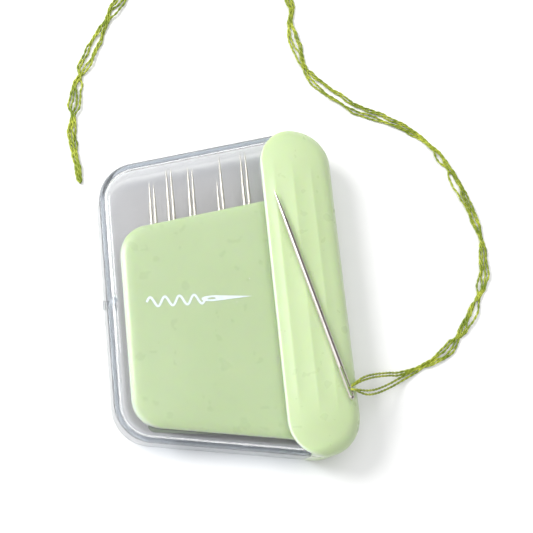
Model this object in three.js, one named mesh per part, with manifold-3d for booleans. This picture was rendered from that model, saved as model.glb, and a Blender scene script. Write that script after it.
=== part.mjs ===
// A slide-out magnetic needle case with its needles and a length of embroidery floss.
// Millimetres. +Z is up from the flat underside, +X is the way the drawer slides out,
// and +Y runs along the grip. The origin is on the underside of the sleeve.

import * as THREE from 'three';
import { mergeVertices } from 'three/addons/utils/BufferGeometryUtils.js';
import Module from 'manifold-3d';

const wasm = await Module();
wasm.setup();

// ---- Driving dimensions ----------------------------------------------------------------

// Clear sleeve: a flat, tapering box that is closed at -X and open at its wide +X end.
const SLEEVE_CLOSED_X = -24.9;
const SLEEVE_MOUTH_X = 15.0;
const SLEEVE_HALF_WIDTH = 28.8; // at the closed end
const SLEEVE_TAPER = 0.171; // gain in half width for each millimetre of +X
const SLEEVE_HEIGHT = 11.2;
const SLEEVE_SIDE_WALL = 1.5;
const SLEEVE_FLOOR = 1.2;
const SLEEVE_CORNER_RADIUS = 8.5;
const SLEEVE_EDGE_RADIUS = 2.2;
const GATE_MARK_RADIUS = 1.0;
const GATE_MARK_HEIGHT = 0.5;

// Grip: a stadium in plan, standing a little above the sleeve that it overlaps.
const GRIP_LENGTH = 72.0;
const GRIP_LEFT_X = 10.3;
const GRIP_RIGHT_X = 26.5;
const GRIP_CROWN_Z = 13.6;
const GRIP_CROWN_RADIUS = 30.0;
const GRIP_LIP_GAP = 0.2; // above the sleeve
const GRIP_FRONT_X = 15.3; // where the grip's body starts, beyond the mouth
const GRIP_WALL = 1.4;
const GRIP_EDGE_INSET = 1.2;
const GRIP_EDGE_DROP = 1.0;
const GRIP_POCKET_OUTER_WALL = 2.2; // on the +X side
const GRIP_POCKET_HALF_LENGTH = 30.0;
const GRIP_POCKET_TOP_Z = 11.9;
const FLUTE_COUNT = 4;
const FLUTE_FIRST_CUSP_X = 8.85;
const FLUTE_PITCH = 4.1;
const FLUTE_DEPTH = 0.24;

// Drawer plate: hangs just under the sleeve's ceiling and carries a magnetic sheet.
const PLATE_UNDERSIDE_Z = 7.6;
const PLATE_TOP_Z = 9.6;
const PLATE_LEFT_X = -21.2;
const PLATE_RIGHT_X = 14.9;
const PLATE_UPPER_Y = 15.2; // at PLATE_LEFT_X
const PLATE_LOWER_Y = -26.3;
const PLATE_TAPER = 0.165;
const PLATE_CORNER_RADIUS = 6.0;
const TONGUE_END_X = 22.4;
const TONGUE_HALF_LENGTH = 16.0;
const TONGUE_CENTRE_Y = -4.0;
const TONGUE_SIDE_PLAY = 0.3;
const TONGUE_TOP_PLAY = 0.15;
const MAGNET_SHEET_THICKNESS = 0.9;
const MAGNET_SHEET_MARGIN = 3.0;
const MAGNET_SHEET_LOWER_Y = -27.6; // at PLATE_LEFT_X: the sheet stands out past the plate's near edge
const MAGNET_SHEET_LOWER_TAPER = 0.105;
const MAGNET_SHEET_PLAY = 0.1;

// Magnet bar glued under the grip's crown.
const BAR_MAGNET_SIZE = [6.0, 48.0, 2.0];
const BAR_MAGNET_CENTRE = [20.0, 0.0, 10.85];

// Locating pegs between the lower grip shell and the drawer plate's tongue.
const PEG_X = 19.4;
const PEG_RADIUS = 1.4;
const PEG_CLEARANCE = 0.25;
const PEG_BOSS_RADIUS = 2.8;
const PEG_OFFSETS_Y = [-10.0, 10.0];
const PEG_TOP_GAP = 0.1;
const BOSS_TOP_GAP = 0.05;

// Needles that cling to the magnetic sheet: where the tip is, the length, and the lean.
const STORED_NEEDLE_RADIUS = 0.36;
const STORED_NEEDLE_Z = 7.1;
const STORED_EYE = { length: 2.2, halfWidth: 0.13 };
const STORED_NEEDLES = [
  { x: -13.7, tipY: 26.2, length: 39.0, lean: 0.8 },
  { x: -12.8, tipY: 25.8, length: 39.0, lean: 0.8 },
  { x: -9.8, tipY: 29.2, length: 44.0, lean: 0.5 },
  { x: -8.8, tipY: 29.6, length: 44.0, lean: 0.5 },
  { x: -5.0, tipY: 29.5, length: 44.0, lean: 1.0 },
  { x: -4.1, tipY: 28.9, length: 44.0, lean: 1.0 },
  { x: 1.2, tipY: 26.0, length: 39.0, lean: 0.2 },
  { x: 2.2, tipY: 31.9, length: 49.0, lean: 0.2 },
  { x: 7.0, tipY: 32.6, length: 49.0, lean: 0.4 },
  { x: 8.1, tipY: 32.6, length: 49.0, lean: 0.4 },
];

// The threaded needle that lies across the grip.
const THREADED_NEEDLE = { tip: [12.25, 21.3], end: [24.1, -25.0], radius: 0.58, z: 14.25 };
const THREADED_EYE = { length: 6.4, halfWidth: 0.26 };
const THREADED_HEAD_RADIUS = 0.64;

// Floss: one soft length, in two solids that meet beyond the far side of the case.
const FLOSS_RADIUS = 1.3;
const FLOSS_LEAD_PATH = [
  [25.3, -21.4, 14.8], [28.6, -21.0, 14.2], [32.5, -20.6, 9.6], [37.0, -20.2, 4.0],
  [42.0, -18.5, 1.7], [50.2, -14.9, 1.4], [57.8, -7.5, 1.4], [62.5, 1.4, 1.4],
  [63.8, 11.0, 1.4], [61.2, 22.5, 1.4], [56.0, 33.5, 1.4], [46.5, 41.4, 1.4],
  [35.1, 47.8, 1.4], [27.6, 55.0, 1.4], [24.4, 65.0, 1.4], [23.0, 75.0, 1.4],
  [16.5, 83.5, 1.4], [6.0, 87.0, 1.4],
];
const FLOSS_TAIL_PATH = [
  [5.2, 87.1, 1.4], [-5.0, 84.4, 1.4], [-13.6, 76.6, 1.4], [-20.6, 65.3, 1.4],
  [-25.6, 55.0, 1.4], [-28.3, 46.0, 1.4], [-29.0, 37.0, 1.4], [-28.2, 28.5, 1.4],
];

// Printed mark on the plate: a wavy thread that runs into a needle.
const MARK_Y = -0.8;
const MARK_START_X = -16.6;
const MARK_WAVE_LENGTH = 12.4;
const MARK_WAVE_COUNT = 4;
const MARK_WAVE_HEIGHT = 1.0;
const MARK_LINE_HALF_WIDTH = 0.24;
const MARK_NEEDLE_LENGTH = 10.2;
const MARK_NEEDLE_HALF_WIDTH = 0.62;
const MARK_THICKNESS = 0.06;

// Cutting blocks reach this far past the body they cut, and are this wide to span the case.
const OVERCUT = 1.0;
const SPAN = 60.0;

// ---- Materials ---------------------------------------------------------------------------

const clearPlastic = new THREE.MeshStandardMaterial({
  color: '#dfe6e8', roughness: 0.05, metalness: 0, transparent: true, opacity: 0.35,
});
const greenPlastic = new THREE.MeshStandardMaterial({ color: '#cfe6b8', roughness: 0.45 });
const ferriteSheet = new THREE.MeshStandardMaterial({ color: '#3b3a38', roughness: 0.8 });
const nickelMagnet = new THREE.MeshStandardMaterial({ color: '#b9b8b4', roughness: 0.3, metalness: 1 });
const needleSteel = new THREE.MeshStandardMaterial({ color: '#d8d4cb', roughness: 0.2, metalness: 1 });
const printInk = new THREE.MeshStandardMaterial({ color: '#f2f7f6', roughness: 0.6 });
const cottonFloss = new THREE.MeshStandardMaterial({ color: '#a6b152', roughness: 0.7 });

// ---- Geometry helpers ---------------------------------------------------------------------

function solidOf(geometry) {
  const bare = geometry.clone();
  for (const name of ['normal', 'uv']) bare.deleteAttribute(name);
  const merged = mergeVertices(bare, 1e-5);
  return new wasm.Manifold(new wasm.Mesh({
    numProp: 3,
    vertProperties: Float32Array.from(merged.attributes.position.array),
    triVerts: Uint32Array.from(merged.index.array),
  }));
}

function geometryOf(solid) {
  const mesh = solid.getMesh();
  const geometry = new THREE.BufferGeometry();
  geometry.setAttribute('position', new THREE.BufferAttribute(mesh.vertProperties, 3));
  geometry.setIndex(new THREE.BufferAttribute(mesh.triVerts, 1));
  return geometry;
}

// An outline whose corners [x, y, radius] are listed anticlockwise.
function roundedOutline(corners) {
  const shape = new THREE.Shape();
  const count = corners.length;
  corners.forEach(([x, y, radius], i) => {
    const corner = new THREE.Vector2(x, y);
    if (radius === 0) {
      if (i === 0) shape.moveTo(x, y);
      else shape.lineTo(x, y);
      return;
    }
    const before = corners[(i + count - 1) % count];
    const after = corners[(i + 1) % count];
    const back = new THREE.Vector2(before[0], before[1]).sub(corner).normalize();
    const ahead = new THREE.Vector2(after[0], after[1]).sub(corner).normalize();
    const halfAngle = Math.acos(back.dot(ahead)) / 2;
    const tangent = radius / Math.tan(halfAngle);
    const bisector = back.clone().add(ahead).normalize();
    const centre = corner.clone().addScaledVector(bisector, radius / Math.sin(halfAngle));
    const start = corner.clone().addScaledVector(back, tangent);
    const end = corner.clone().addScaledVector(ahead, tangent);
    if (i === 0) shape.moveTo(start.x, start.y);
    else shape.lineTo(start.x, start.y);
    const startAngle = Math.atan2(start.y - centre.y, start.x - centre.x);
    const endAngle = Math.atan2(end.y - centre.y, end.x - centre.x);
    shape.absarc(centre.x, centre.y, radius, startAngle, endAngle, false);
  });
  shape.closePath();
  return shape;
}

// A prism from z0 to z1 whose top and bottom edges are rounded by edgeRadius.
function prism(outline, z0, z1, edgeRadius = 0, curveSegments = 8) {
  const geometry = new THREE.ExtrudeGeometry(outline, {
    depth: z1 - z0 - 2 * edgeRadius,
    bevelEnabled: edgeRadius > 0,
    bevelThickness: edgeRadius,
    bevelSize: edgeRadius,
    bevelOffset: -edgeRadius,
    bevelSegments: 4,
    curveSegments,
  });
  geometry.translate(0, 0, z0 + edgeRadius);
  return solidOf(geometry);
}

function block(x0, x1, y0, y1, z0, z1) {
  const geometry = new THREE.BoxGeometry(x1 - x0, y1 - y0, z1 - z0);
  geometry.translate((x0 + x1) / 2, (y0 + y1) / 2, (z0 + z1) / 2);
  return solidOf(geometry);
}

function uprightCylinder(x, y, z0, z1, radius) {
  const geometry = new THREE.CylinderGeometry(radius, radius, z1 - z0, 20);
  geometry.rotateX(Math.PI / 2);
  geometry.translate(x, y, (z0 + z1) / 2);
  return solidOf(geometry);
}

function stadium(centreX, halfWidth, halfLength) {
  const straight = halfLength - halfWidth;
  const shape = new THREE.Shape();
  shape.moveTo(centreX + halfWidth, -straight);
  shape.lineTo(centreX + halfWidth, straight);
  shape.absarc(centreX, straight, halfWidth, 0, Math.PI, false);
  shape.lineTo(centreX - halfWidth, -straight);
  shape.absarc(centreX, -straight, halfWidth, Math.PI, 2 * Math.PI, false);
  return shape;
}

// ---- Clear sleeve ---------------------------------------------------------------------------

const PAST_MOUTH = 6.0;

function sleeveOutline(inset, cornerRadius) {
  const slantInset = inset * Math.hypot(1, SLEEVE_TAPER);
  const closedX = SLEEVE_CLOSED_X + inset;
  const endX = SLEEVE_MOUTH_X + PAST_MOUTH;
  const halfWidth = (x) => SLEEVE_HALF_WIDTH + SLEEVE_TAPER * (x - SLEEVE_CLOSED_X) - slantInset;
  return roundedOutline([
    [closedX, -halfWidth(closedX), cornerRadius],
    [endX, -halfWidth(endX), 0],
    [endX, halfWidth(endX), 0],
    [closedX, halfWidth(closedX), cornerRadius],
  ]);
}

function clearSleeve() {
  const outer = prism(sleeveOutline(0, SLEEVE_CORNER_RADIUS), 0, SLEEVE_HEIGHT, SLEEVE_EDGE_RADIUS);
  const innerCorner = SLEEVE_CORNER_RADIUS - SLEEVE_SIDE_WALL;
  const innerEdge = SLEEVE_EDGE_RADIUS - SLEEVE_FLOOR;
  const cavity = prism(
    sleeveOutline(SLEEVE_SIDE_WALL, innerCorner), SLEEVE_FLOOR, SLEEVE_HEIGHT - SLEEVE_FLOOR, innerEdge,
  );
  const beyond = block(
    SLEEVE_MOUTH_X, SLEEVE_MOUTH_X + 2 * PAST_MOUTH, -SPAN, SPAN, -OVERCUT, SLEEVE_HEIGHT + OVERCUT,
  );
  const gateLength = 1.0 + GATE_MARK_HEIGHT; // its inner part is sunk in the wall
  const gate = new THREE.CylinderGeometry(GATE_MARK_RADIUS, GATE_MARK_RADIUS, gateLength, 16);
  gate.rotateZ(Math.PI / 2);
  gate.translate(SLEEVE_CLOSED_X - GATE_MARK_HEIGHT + gateLength / 2, 0, SLEEVE_HEIGHT / 2);
  return outer.subtract(cavity).subtract(beyond).add(solidOf(gate));
}

// ---- Grip ------------------------------------------------------------------------------------

const GRIP_CENTRE_X = (GRIP_LEFT_X + GRIP_RIGHT_X) / 2;
const GRIP_HALF_WIDTH = (GRIP_RIGHT_X - GRIP_LEFT_X) / 2;
const GRIP_HALF_LENGTH = GRIP_LENGTH / 2;

// Height of the grip's upper face: a shallow crown that is scalloped into flutes.
function gripTopZ(x) {
  const crownDrop = GRIP_CROWN_RADIUS - Math.sqrt(GRIP_CROWN_RADIUS ** 2 - (x - GRIP_CENTRE_X) ** 2);
  const across = (x - FLUTE_FIRST_CUSP_X) / FLUTE_PITCH;
  const fromMiddle = (across - Math.floor(across) - 0.5) * 2;
  return GRIP_CROWN_Z - crownDrop - FLUTE_DEPTH * (1 - fromMiddle ** 2);
}

function gripEnvelope() {
  const section = new THREE.Shape();
  section.moveTo(GRIP_LEFT_X, 0);
  section.lineTo(GRIP_RIGHT_X, 0);
  const edges = [GRIP_RIGHT_X, GRIP_LEFT_X];
  section.lineTo(edges[0], gripTopZ(edges[0]) - GRIP_EDGE_DROP);
  const steps = 4 * FLUTE_COUNT;
  const firstX = GRIP_RIGHT_X - GRIP_EDGE_INSET;
  const lastX = GRIP_LEFT_X + GRIP_EDGE_INSET;
  for (let i = 0; i <= steps; i += 1) {
    const x = firstX + (lastX - firstX) * (i / steps);
    section.lineTo(x, gripTopZ(x));
  }
  section.lineTo(edges[1], gripTopZ(edges[1]) - GRIP_EDGE_DROP);
  const bar = new THREE.ExtrudeGeometry(section, { depth: GRIP_LENGTH + 2 * OVERCUT, bevelEnabled: false });
  bar.rotateX(Math.PI / 2);
  bar.translate(0, GRIP_HALF_LENGTH + OVERCUT, 0);
  const plan = stadium(GRIP_CENTRE_X, GRIP_HALF_WIDTH, GRIP_HALF_LENGTH);
  return solidOf(bar).intersect(prism(plan, -OVERCUT, GRIP_CROWN_Z + OVERCUT, 0, 12));
}

const GRIP_POCKET_X0 = GRIP_FRONT_X + GRIP_WALL;
const GRIP_POCKET_X1 = GRIP_RIGHT_X - GRIP_POCKET_OUTER_WALL;

function gripTopShell() {
  const below = block(0, SPAN, -SPAN, SPAN, -OVERCUT, PLATE_UNDERSIDE_Z);
  const sleeveRoom = block(0, GRIP_FRONT_X, -SPAN, SPAN, 0, SLEEVE_HEIGHT + GRIP_LIP_GAP);
  const pocket = block(
    GRIP_POCKET_X0, GRIP_POCKET_X1, -GRIP_POCKET_HALF_LENGTH, GRIP_POCKET_HALF_LENGTH,
    PLATE_UNDERSIDE_Z - OVERCUT, GRIP_POCKET_TOP_Z,
  );
  const slotHalfLength = TONGUE_HALF_LENGTH + TONGUE_SIDE_PLAY;
  const slot = block(
    GRIP_FRONT_X - OVERCUT, GRIP_POCKET_X0 + OVERCUT,
    TONGUE_CENTRE_Y - slotHalfLength, TONGUE_CENTRE_Y + slotHalfLength,
    PLATE_UNDERSIDE_Z - OVERCUT, PLATE_TOP_Z + TONGUE_TOP_PLAY,
  );
  return gripEnvelope().subtract(below).subtract(sleeveRoom).subtract(pocket).subtract(slot);
}

function gripBottomShell() {
  const above = block(0, SPAN, -SPAN, SPAN, PLATE_UNDERSIDE_Z, GRIP_CROWN_Z + OVERCUT);
  const sleeveRoom = block(0, GRIP_FRONT_X, -SPAN, SPAN, -OVERCUT, PLATE_UNDERSIDE_Z + OVERCUT);
  const pocket = block(
    GRIP_POCKET_X0, GRIP_POCKET_X1, -GRIP_POCKET_HALF_LENGTH, GRIP_POCKET_HALF_LENGTH,
    GRIP_WALL, PLATE_UNDERSIDE_Z + OVERCUT,
  );
  let shell = gripEnvelope().subtract(above).subtract(sleeveRoom).subtract(pocket);
  for (const offset of PEG_OFFSETS_Y) {
    const y = TONGUE_CENTRE_Y + offset;
    shell = shell
      .add(uprightCylinder(PEG_X, y, GRIP_WALL / 2, PLATE_UNDERSIDE_Z - BOSS_TOP_GAP, PEG_BOSS_RADIUS))
      .add(uprightCylinder(PEG_X, y, GRIP_WALL, PLATE_TOP_Z - PEG_TOP_GAP, PEG_RADIUS));
  }
  return shell;
}

function gripMagnet() {
  const geometry = new THREE.BoxGeometry(...BAR_MAGNET_SIZE);
  geometry.translate(...BAR_MAGNET_CENTRE);
  return solidOf(geometry);
}

// ---- Drawer plate and its magnetic sheet --------------------------------------------------------

function plateOutline() {
  const upper = (x) => PLATE_UPPER_Y + PLATE_TAPER * (x - PLATE_LEFT_X);
  const lower = (x) => PLATE_LOWER_Y - PLATE_TAPER * (x - PLATE_LEFT_X);
  return roundedOutline([
    [PLATE_LEFT_X, lower(PLATE_LEFT_X), PLATE_CORNER_RADIUS],
    [PLATE_RIGHT_X, lower(PLATE_RIGHT_X), 0],
    [PLATE_RIGHT_X, upper(PLATE_RIGHT_X), 0],
    [PLATE_LEFT_X, upper(PLATE_LEFT_X), PLATE_CORNER_RADIUS],
  ]);
}

const PLATE_EDGE_RADIUS = 0.3;
const SHEET_RIGHT_X = PLATE_RIGHT_X - 4.0;
const SHEET_CORNER_RADIUS = PLATE_CORNER_RADIUS - 2.0;
const SHEET_NEAR_CORNER_RADIUS = 1.5;

function sheetOutline(play) {
  const leftX = PLATE_LEFT_X + MAGNET_SHEET_MARGIN + play;
  const rightX = SHEET_RIGHT_X - play;
  const upper = (x) => PLATE_UPPER_Y + PLATE_TAPER * (x - PLATE_LEFT_X) - MAGNET_SHEET_MARGIN - play;
  const lower = (x) => MAGNET_SHEET_LOWER_Y - MAGNET_SHEET_LOWER_TAPER * (x - PLATE_LEFT_X) + play;
  return roundedOutline([
    [leftX, lower(leftX), SHEET_NEAR_CORNER_RADIUS],
    [rightX, lower(rightX), 0],
    [rightX, upper(rightX), 0],
    [leftX, upper(leftX), SHEET_CORNER_RADIUS],
  ]);
}

function drawerPlate() {
  const plate = prism(plateOutline(), PLATE_UNDERSIDE_Z, PLATE_TOP_Z, PLATE_EDGE_RADIUS);
  const tongue = block(
    PLATE_RIGHT_X - 2 * OVERCUT, TONGUE_END_X,
    TONGUE_CENTRE_Y - TONGUE_HALF_LENGTH, TONGUE_CENTRE_Y + TONGUE_HALF_LENGTH,
    PLATE_UNDERSIDE_Z, PLATE_TOP_Z,
  );
  const recessTop = PLATE_UNDERSIDE_Z + MAGNET_SHEET_THICKNESS + MAGNET_SHEET_PLAY;
  const recess = prism(sheetOutline(0), PLATE_UNDERSIDE_Z - OVERCUT, recessTop);
  let solid = plate.add(tongue).subtract(recess);
  for (const offset of PEG_OFFSETS_Y) {
    const hole = uprightCylinder(
      PEG_X, TONGUE_CENTRE_Y + offset, PLATE_UNDERSIDE_Z - OVERCUT, PLATE_TOP_Z + OVERCUT,
      PEG_RADIUS + PEG_CLEARANCE,
    );
    solid = solid.subtract(hole);
  }
  return solid;
}

function plateMagnet() {
  return prism(sheetOutline(MAGNET_SHEET_PLAY), PLATE_UNDERSIDE_Z, PLATE_UNDERSIDE_Z + MAGNET_SHEET_THICKNESS);
}

// ---- Printed mark ---------------------------------------------------------------------------------

function printedMark() {
  const steps = 16 * MARK_WAVE_COUNT;
  const centreLine = [];
  for (let i = 0; i <= steps; i += 1) {
    const along = i / steps;
    const swing = Math.sin(along * MARK_WAVE_COUNT * 2 * Math.PI);
    centreLine.push(new THREE.Vector2(
      MARK_START_X + along * MARK_WAVE_LENGTH, MARK_Y + MARK_WAVE_HEIGHT * swing,
    ));
  }
  const side = (sign) => centreLine.map((point, i) => {
    const before = centreLine[Math.max(i - 1, 0)];
    const after = centreLine[Math.min(i + 1, steps)];
    const tangent = after.clone().sub(before).normalize();
    return new THREE.Vector2(
      point.x - sign * tangent.y * MARK_LINE_HALF_WIDTH, point.y + sign * tangent.x * MARK_LINE_HALF_WIDTH,
    );
  });
  const ribbon = new THREE.Shape([...side(-1), ...side(1).reverse()]);

  const eyeX = MARK_START_X + MARK_WAVE_LENGTH;
  const needle = new THREE.Shape();
  needle.moveTo(eyeX + MARK_NEEDLE_LENGTH, MARK_Y);
  needle.lineTo(eyeX + 2.0, MARK_Y + MARK_NEEDLE_HALF_WIDTH);
  needle.quadraticCurveTo(eyeX - 0.8, MARK_Y + MARK_NEEDLE_HALF_WIDTH, eyeX - 0.8, MARK_Y);
  needle.quadraticCurveTo(
    eyeX - 0.8, MARK_Y - MARK_NEEDLE_HALF_WIDTH, eyeX + 2.0, MARK_Y - MARK_NEEDLE_HALF_WIDTH,
  );
  const eye = new THREE.Path();
  eye.absellipse(eyeX + 1.4, MARK_Y, 0.9, 0.22, 0, 2 * Math.PI, true);
  needle.holes.push(eye);
  const top = PLATE_TOP_Z + MARK_THICKNESS;
  return prism(ribbon, PLATE_TOP_Z, top).add(prism(needle, PLATE_TOP_Z, top));
}

// ---- Needles ----------------------------------------------------------------------------------------

// A needle along Y with its point at the origin and its eye at -length.
function needleSolid(length, radius, headRadius, eyeSize, sides) {
  const { length: eyeLength, halfWidth: eyeHalfWidth } = eyeSize;
  const profile = [
    new THREE.Vector2(0, -length),
    new THREE.Vector2(headRadius * 0.75, -length + headRadius * 0.4),
    new THREE.Vector2(headRadius, -length + eyeLength * 0.35),
    new THREE.Vector2(headRadius, -length + eyeLength),
    new THREE.Vector2(radius, -length + eyeLength * 1.9),
    new THREE.Vector2(radius, -length * 0.22),
    new THREE.Vector2(radius * 0.62, -length * 0.08),
    new THREE.Vector2(radius * 0.2, -length * 0.01),
    new THREE.Vector2(0, 0),
  ];
  const shaft = solidOf(new THREE.LatheGeometry(profile, sides));
  const eyeEndY = -length + headRadius + eyeHalfWidth;
  const eyeOutline = stadium(0, eyeHalfWidth, eyeLength / 2);
  const eye = prism(eyeOutline, -2 * headRadius, 2 * headRadius, 0, 4);
  return shaft.subtract(eye.translate(0, eyeEndY + eyeLength / 2 - eyeHalfWidth, 0));
}

function meshOf(name, solid, material) {
  const mesh = new THREE.Mesh(geometryOf(solid), material);
  mesh.name = name;
  return mesh;
}

function storedNeedle(index) {
  const { x, tipY, length, lean } = STORED_NEEDLES[index];
  const number = String(index + 1).padStart(2, '0');
  const solid = needleSolid(length, STORED_NEEDLE_RADIUS, STORED_NEEDLE_RADIUS, STORED_EYE, 10);
  const mesh = meshOf(`stored_needle_${number}`, solid, needleSteel);
  mesh.position.set(x, tipY, STORED_NEEDLE_Z);
  mesh.rotation.z = THREE.MathUtils.degToRad(-lean);
  return mesh;
}

function threadedNeedle() {
  const { tip, end, radius, z } = THREADED_NEEDLE;
  const acrossX = tip[0] - end[0];
  const alongY = tip[1] - end[1];
  const length = Math.hypot(acrossX, alongY);
  const solid = needleSolid(length, radius, THREADED_HEAD_RADIUS, THREADED_EYE, 16);
  const mesh = meshOf('threaded_needle', solid, needleSteel);
  mesh.position.set(tip[0], tip[1], z);
  mesh.rotation.z = Math.atan2(-acrossX, alongY);
  return mesh;
}

// ---- Floss --------------------------------------------------------------------------------------------

function flossSolid(points) {
  const curve = new THREE.CatmullRomCurve3(points.map((point) => new THREE.Vector3(...point)));
  const section = new THREE.Shape();
  section.absarc(0, 0, FLOSS_RADIUS, 0, 2 * Math.PI, false);
  return solidOf(new THREE.ExtrudeGeometry(section, {
    extrudePath: curve, steps: 4 * points.length, curveSegments: 5, bevelEnabled: false,
  }));
}

// ---- Assembly -------------------------------------------------------------------------------------------

const needleCase = new THREE.Group();

const sleeveGroup = new THREE.Group();
sleeveGroup.add(
  meshOf('clear_sleeve', clearSleeve(), clearPlastic),
  meshOf('floss_tail', flossSolid(FLOSS_TAIL_PATH), cottonFloss),
);

const drawerGroup = new THREE.Group();
drawerGroup.add(
  meshOf('drawer_plate', drawerPlate(), greenPlastic),
  meshOf('plate_magnet_sheet', plateMagnet(), ferriteSheet),
  meshOf('printed_mark', printedMark(), printInk),
  meshOf('grip_top_shell', gripTopShell(), greenPlastic),
  meshOf('grip_bottom_shell', gripBottomShell(), greenPlastic),
  meshOf('grip_magnet_bar', gripMagnet(), nickelMagnet),
  meshOf('floss_lead', flossSolid(FLOSS_LEAD_PATH), cottonFloss),
  threadedNeedle(),
  ...STORED_NEEDLES.map((_, index) => storedNeedle(index)),
);

needleCase.add(sleeveGroup, drawerGroup);

export default needleCase;
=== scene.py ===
"""The looks of a slide-out magnetic needle case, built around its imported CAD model.

Lengths are in metres in the CAD frame: +Z up from the table, +X the way the drawer slides
out, +Y along the grip. The case's own sizes are written in millimetres, times MM.
"""

import math

import bmesh
import bpy
import numpy as np
from mathutils import Matrix, Vector


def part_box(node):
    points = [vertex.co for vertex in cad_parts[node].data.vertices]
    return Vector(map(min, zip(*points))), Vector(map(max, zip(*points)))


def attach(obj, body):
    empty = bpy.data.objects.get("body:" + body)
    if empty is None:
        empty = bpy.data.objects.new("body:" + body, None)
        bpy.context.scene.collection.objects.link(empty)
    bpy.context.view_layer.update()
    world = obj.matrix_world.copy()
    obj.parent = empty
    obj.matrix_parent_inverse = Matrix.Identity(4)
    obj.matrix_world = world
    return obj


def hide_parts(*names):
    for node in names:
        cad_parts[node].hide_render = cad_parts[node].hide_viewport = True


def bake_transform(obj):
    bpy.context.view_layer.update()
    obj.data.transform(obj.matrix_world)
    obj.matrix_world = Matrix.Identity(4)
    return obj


MM = 0.001

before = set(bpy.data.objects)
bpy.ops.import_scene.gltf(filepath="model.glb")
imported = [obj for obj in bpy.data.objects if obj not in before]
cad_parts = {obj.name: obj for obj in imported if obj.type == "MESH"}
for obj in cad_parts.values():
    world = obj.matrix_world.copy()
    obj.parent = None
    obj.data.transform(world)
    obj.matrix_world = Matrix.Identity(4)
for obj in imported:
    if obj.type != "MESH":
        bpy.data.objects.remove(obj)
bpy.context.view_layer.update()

# ---- Driving sizes, with the places of things taken from the CAD nodes ---------------------

SLEEVE_TAPER = 0.171  # gain in half width for each unit of +X
SLEEVE_WALL = 1.4 * MM
SLEEVE_FLOOR = 1.2 * MM
SLEEVE_CORNER = 8.5 * MM
SLEEVE_EDGE = 2.2 * MM
SLEEVE_INNER_EDGE = 1.1 * MM
PAST_MOUTH = 6.0 * MM  # how far the uncut sleeve runs beyond its mouth
RIB_RADIUS = 0.9 * MM  # upright rib in the middle of the closed end
GATE_RADIUS = 1.0 * MM
GATE_HEIGHT = 0.5 * MM  # how far the gate mark stands proud of the closed end
GATE_PROFILE = [(0.0, 1.0), (0.7, 1.0), (0.9, 0.85), (1.0, 0.6)]  # shares of GATE_HEIGHT and GATE_RADIUS
GATE_ROOT = 1.0 * MM  # how deep the gate mark starts inside the wall

PLATE_TAPER = 0.165
PLATE_PAST_SHEET = 4.1 * MM  # how far the plate runs on towards the grip
PLATE_CORNER = 6.5 * MM
PLATE_UPPER_EDGE = (2.4 * MM, 0.9 * MM)  # how far the rounding reaches in, and how far it drops
PLATE_LOWER_EDGE = (0.3 * MM, 0.3 * MM)
TONGUE_Y = (-20.0 * MM, 12.0 * MM)
TONGUE_OVERLAP = 2.0 * MM  # how far the tongue starts inside the plate
TONGUE_SIDE_PLAY = 0.3 * MM
TONGUE_TOP_PLAY = 0.15 * MM
SHEET_MARGIN = 0.1 * MM
SHEET_CORNER = 4.5 * MM
FLAT_MARGIN = 0.2 * MM  # level strip inside a rounded edge, which keeps the face beyond it optically flat

GRIP_CROWN_RADIUS = 30.0 * MM
GRIP_WALL = 1.4 * MM
GRIP_OUTER_WALL = 2.2 * MM
GRIP_POCKET_HALF_LENGTH = 30.0 * MM
GRIP_LOWER_EDGE = 0.6 * MM
GRIP_END_FALL = 1.1 * MM  # how much lower the crown lies at the grip's very ends
GRIP_END_REACH = (24.0 * MM, 37.0 * MM)  # where along the grip the crown starts and stops falling
GRIP_LIP_GAP = 0.2 * MM
GRIP_SEAM = 0.05 * MM
CRISP_EDGE = 0.4 * MM  # rounding along the grip's edge over the sleeve
SOFT_EDGE = 3.4 * MM  # rounding along its outer edge and round its ends
EDGE_DROP = 0.8  # how far the rounding drops, as a share of how far it reaches in
RIDGE_ROUNDING = 0.25 * MM  # how far to each side of a ridge the mesh has a ring of its own
RIDGE_SOFTNESS = 0.08  # how blunt a ridge is, as a share of half a flute
FLUTE_COUNT = 4
FLUTE_FIRST = 8.85 * MM
FLUTE_PITCH = 4.1 * MM
FLUTE_DEPTH = 0.22 * MM
FLUTE_FADE = (21.0 * MM, 29.0 * MM)

EYE_LENGTH = {"stored": 2.4 * MM, "threaded": 6.4 * MM}
EYE_HALF_WIDTH = {"stored": 0.13 * MM, "threaded": 0.24 * MM}
THREADED_SHANK = 0.58 * MM
TAPER = [  # (share of the needle's length from its tip, share of the shank's radius)
    (0.0, 0.03), (0.0008, 0.09), (0.004, 0.14), (0.012, 0.23), (0.034, 0.40), (0.08, 0.62),
    (0.12, 0.78), (0.17, 0.93), (0.22, 1.0),
]

FAR = 60.0 * MM  # beyond everything, for cutting tools

WALL_LIGHT = (0.94, 0.945, 0.955)  # share of the light that passes each upright face of clear plastic
LID_LIGHT = (1.0, 1.0, 1.0)  # and each level face of the lid
FLOOR_LIGHT = (0.86, 0.85, 0.85)  # and each level face of the floor, set lower than the lid's to darken the inside floor
WALL_HAZE = 0.12  # share of the view through an upright face that isn't bent
PAINTED_HIGHLIGHT_DIRECTION = (-0.86, -0.46, 0.22)  # the green plastic is painted paler, as a highlight, where it faces this way
LEVEL_FACES = (0.7, 0.98)  # how upright a normal is where a face starts to count as level, and fully does

sleeve_low, sleeve_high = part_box("clear_sleeve")
plate_low, plate_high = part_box("drawer_plate")
sheet_low, sheet_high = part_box("plate_magnet_sheet")
grip_low, grip_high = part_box("grip_top_shell")
base_low, base_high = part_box("grip_bottom_shell")
plate_end_x = sheet_high.x + PLATE_PAST_SHEET


# ---- Mesh helpers ---------------------------------------------------------------------------

def link(obj):
    bpy.context.scene.collection.objects.link(obj)
    return obj


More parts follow.
